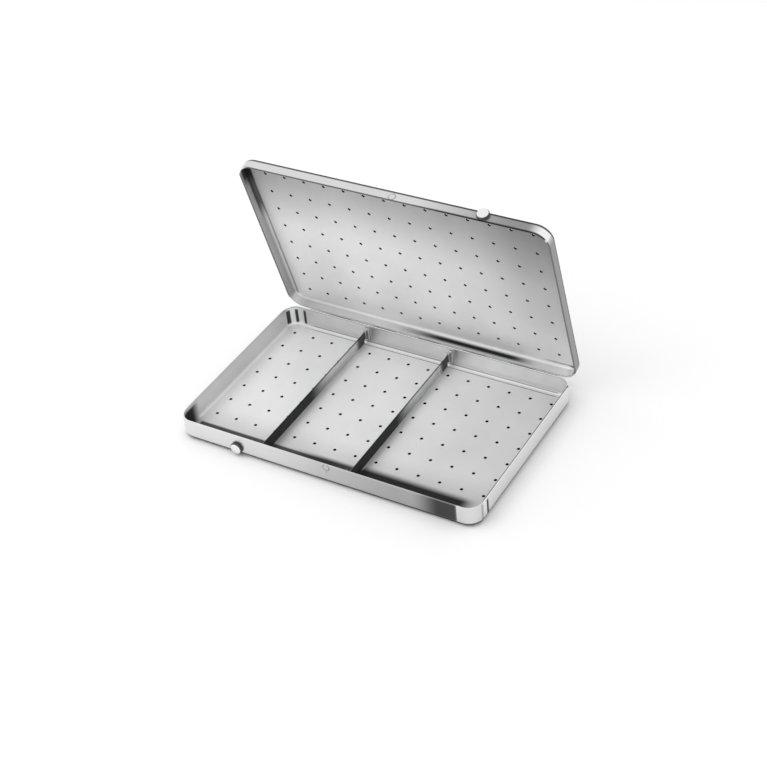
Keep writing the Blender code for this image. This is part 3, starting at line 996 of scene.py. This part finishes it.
@node_group(
    "GeometryNodeTree",
    {
        "Leaf": "Geometry", "Knuckle": "Object", "Count": 5, "First": 0.0, "Spacing": 0.02,
        "Material": "Material",
    },
    {"Leaf": "Geometry"},
)
def hinge_knuckles(tree, given, put):
    """Repeats a rolled knuckle along X and adds it to its leaf."""
    info = tree.add("GeometryNodeObjectInfo", {"Object": given["Knuckle"]})
    line = tree.add("GeometryNodeMeshLine", {
        "Count": given["Count"], "Start Location": tree.vector(X=given["First"]),
        "Offset": tree.vector(X=given["Spacing"]),
    })
    joined = tree.add("GeometryNodeJoinGeometry")
    tree.link(given["Leaf"], joined.inputs[0])
    tree.link(tree.repeated(info.outputs["Geometry"], line.outputs[0]), joined.inputs[0])
    tree.link(tree.painted(joined.outputs[0], given["Material"]), put["Leaf"])


def sheet_run(name, skin, width, sheet, material):
    """A strip of sheet along X, on the left of its outer skin's (y, z) points."""
    count = len(skin)
    inner = []
    for index, (y, z) in enumerate(skin):
        before, after = skin[max(index - 1, 0)], skin[min(index + 1, count - 1)]
        first = Vector((y - before[0], z - before[1]))
        second = Vector((after[0] - y, after[1] - z))
        first = first.normalized() if first.length else second.normalized()
        second = second.normalized() if second.length else first
        normal = Vector((-first.y - second.y, first.x + second.x)).normalized()
        # A corner's point lies further off, at most twice as far
        reach = sheet / max(normal.dot(Vector((-first.y, first.x))), 0.5)
        inner.append((y + normal.x * reach, z + normal.y * reach))
    outline = skin + inner[::-1]
    bm = bmesh.new()
    rows = loft(bm, [[(side, y, z) for y, z in outline] for side in (-width / 2, width / 2)])
    for row in rows:
        for index in range(count - 1):
            bm.faces.new((row[index], row[index + 1], row[-index - 2], row[-index - 1]))
    return piece(name, bm, material)


def rolled_leaf(name, plate_skin, eye_skin, first_index, count, material):
    """A hinge leaf: a plate over the whole length and its share of the knuckles."""
    fits = settings("fittings")
    pitch = fits.hinge_length / fits.knuckles
    leaf = sheet_run(name, plate_skin, fits.hinge_length, fits.hinge_sheet, material)
    knuckle = sheet_run("knuckle", eye_skin, pitch - fits.knuckle_gap, fits.hinge_sheet, material)
    run_nodes(leaf, hinge_knuckles(), {
        "Knuckle": knuckle, "Count": count, "Spacing": 2 * pitch, "Material": material,
        "First": -fits.hinge_length / 2 + (first_index + 0.5) * pitch,
    })
    bpy.data.objects.remove(knuckle)
    leaf.data.transform(Matrix.Translation(hinge_place()))
    return leaf


class CONTAINER_OT_hinge(bpy.types.Operator):
    """Builds the two rolled hinge leaves and the pin."""

    bl_idname = "container.hinge"
    bl_label = "Rolled hinge"

    def execute(self, context):
        sizes, fits, finish = settings("shells"), settings("fittings"), settings("finishes")
        material = steel("satin_hinge_steel", finish.strip_colour, finish.wall_roughness, wave=0.5)
        pin, steps = hinge_place(), 28
        outer = fits.pin_radius + fits.running_gap + fits.hinge_sheet
        clear = outer + fits.knuckle_gap
        top = sizes.case_height - sizes.bend_radius - pin.z
        upper = rolled_leaf(
            "lid_hinge_leaf", [(-outer, top), (-outer, clear)],
            [(-outer, clear), (-outer, outer / 2), *arc(outer, math.pi, fits.roll_turn, steps)],
            1, fits.knuckles // 2, material,
        )
        swing_open(upper.data)
        settle(upper, "lid", "hinge_leaf_lid")
        low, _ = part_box("hinge_leaf_base")
        leg = low.y + fits.hinge_sheet - pin.y
        lower = rolled_leaf(
            "tray_hinge_leaf", [(leg, low.z - pin.z), (leg, -clear)],
            [(leg, -clear), (leg, -outer), *arc(outer, 3 * QUARTER, fits.roll_turn, steps)],
            0, (fits.knuckles + 1) // 2, material,
        )
        settle(lower, "base", "hinge_leaf_base")
        half, radius = (PIN_HIGH.x - PIN_LOW.x) / 2, fits.pin_radius
        crown, soft = 0.25 * MM, 0.07 * MM
        end = [
            (0, half), (radius - crown, half), (radius - soft, half - soft), (radius, half - crown),
        ]
        other_end = [(reach, -along) for reach, along in reversed(end)]
        rod = turned("hinge_rod", end + other_end, 32, turned_steel())
        rod.data.transform(Matrix.Translation(pin) @ Matrix.Rotation(QUARTER, 4, "Y"))
        settle(rod, "base", "hinge_pin")
        return {"FINISHED"}


# ---- stage


def put_camera(studio):
    turn = Matrix.Rotation(studio.azimuth, 3, "Z")
    away = turn @ Vector((0, -math.cos(studio.elevation), math.sin(studio.elevation)))
    right = turn @ Vector((1, 0, 0))
    up = away.cross(right)
    roll = Matrix.Rotation(studio.roll, 3, away)
    right, up = roll @ right, roll @ up
    camera = add_object("camera", bpy.data.cameras.new("camera"))
    camera.data.sensor_width = 36.0
    camera.data.lens = studio.lens
    camera.data.clip_start, camera.data.clip_end = 0.05, 50.0
    place = right * studio.pan[0] + up * studio.pan[1] + away * studio.distance
    facing = Matrix((right, up, away)).transposed().to_4x4()
    camera.matrix_world = Matrix.Translation(place) @ facing
    bpy.context.scene.camera = camera


def put_world(studio):
    """Even light all round, and pure white wherever the background itself is seen."""
    world = bpy.data.worlds.new("studio")
    world.use_nodes = True
    bpy.context.scene.world = world
    tree = Tree(world.node_tree)
    light = world.node_tree.nodes["Background"].inputs
    light["Color"].default_value = (1, 1, 1, 1)
    path = tree.add("ShaderNodeLightPath").outputs
    seen = tree.maths("MAXIMUM", path["Is Camera Ray"], path["Is Glossy Ray"])
    seen = tree.maths("MAXIMUM", seen, path["Is Transmission Ray"])
    tree.link(tree.ranged(seen, studio.light_level, 1.0), light["Strength"])


def table_finish(studio):
    """A pale dull table, with a painted shadow under the tray."""
    table = bpy.data.materials.new("pale_table")
    table.use_nodes = True
    tree = Tree(table.node_tree)
    shader = table.node_tree.nodes["Principled BSDF"].inputs
    shader["Roughness"].default_value = 0.9
    shader["Specular IOR Level"].default_value = 0.0
    shader["Emission Color"].default_value = (1, 1, 1, 1)
    place = tree.add("ShaderNodeTexCoord").outputs["Object"]
    split = tree.add("ShaderNodeSeparateXYZ", {0: place}).outputs
    # Painted shadow: the table is dark where it lies under the tray
    inside = [
        tree.maths("LESS_THAN", tree.maths("ABSOLUTE", split[axis]), side - studio.patch_inset)
        for axis, side in zip("XY", TRAY_HIGH)
    ]
    under = tree.mix(tree.times(*inside), (*studio.floor_colour, 1), (*studio.patch_colour, 1))
    # Far off, the camera sees the table as white as the background
    far = tree.add("ShaderNodeVectorMath", {0: place}, operation="LENGTH").outputs["Value"]
    fade = tree.ranged(
        far, start=studio.fade_start, end=studio.fade_end, interpolation_type="SMOOTHSTEP",
    )
    white = tree.times(fade, tree.add("ShaderNodeLightPath").outputs["Is Camera Ray"])
    tree.link(tree.mix(white, under, (0, 0, 0, 1)), shader["Base Color"])
    tree.link(white, shader["Emission Strength"])
    return table


def put_table(studio):
    bm = bmesh.new()
    bmesh.ops.create_grid(bm, x_segments=1, y_segments=1, size=studio.table_size)
    floor = piece("table", bm, table_finish(studio))
    floor.location.z = -studio.table_gap


def put_lamp(studio):
    lamp = bpy.data.lights.new("soft_box", "AREA")
    lamp.shape = "RECTANGLE"
    lamp.size, lamp.size_y = studio.lamp_size
    lamp.energy = studio.lamp_power
    box = add_object("soft_box", lamp)
    box.visible_glossy = False
    box.location = studio.lamp_place
    box.rotation_mode = "QUATERNION"
    box.rotation_quaternion = box.location.to_track_quat("Z", "Y")


class CONTAINER_OT_stage(bpy.types.Operator):
    """Builds the camera, the table and the soft light."""

    bl_idname = "container.stage"
    bl_label = "Stage"

    def execute(self, context):
        context.scene.view_settings.view_transform = "Standard"
        for put in (put_camera, put_world, put_table, put_lamp):
            put(settings("studio"))
        return {"FINISHED"}


class CONTAINER_PT_panel(bpy.types.Panel):
    """Lists the sizes and the pieces in the 3D view's sidebar."""

    bl_idname = "CONTAINER_PT_panel"
    bl_label = "Sterilization container"
    bl_space_type = "VIEW_3D"
    bl_region_type = "UI"
    bl_category = "Container"

    def draw(self, context):
        for operator in OPERATORS:
            self.layout.operator(operator.bl_idname)
        for name, group in GROUPS.items():
            part = self.layout.box()
            part.label(text=name.title())
            for key in group.__annotations__:
                part.prop(settings(name), key)


OPERATORS = (
    CONTAINER_OT_tray, CONTAINER_OT_lid, CONTAINER_OT_dividers,
    CONTAINER_OT_studs, CONTAINER_OT_hinge, CONTAINER_OT_stage,
)


def register():
    for cls in (*GROUPS.values(), *OPERATORS, CONTAINER_PT_panel):
        bpy.utils.register_class(cls)
    for name, group in GROUPS.items():
        setattr(bpy.types.Scene, f"container_{name}", bpy.props.PointerProperty(type=group))


def unregister():
    for name in GROUPS:
        delattr(bpy.types.Scene, f"container_{name}")
    for cls in reversed((*GROUPS.values(), *OPERATORS, CONTAINER_PT_panel)):
        bpy.utils.unregister_class(cls)


def main():
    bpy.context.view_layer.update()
    register()
    for operator in OPERATORS:
        group, name = operator.bl_idname.split(".")
        getattr(getattr(bpy.ops, group), name)()


if __name__ == "__main__":
    main()
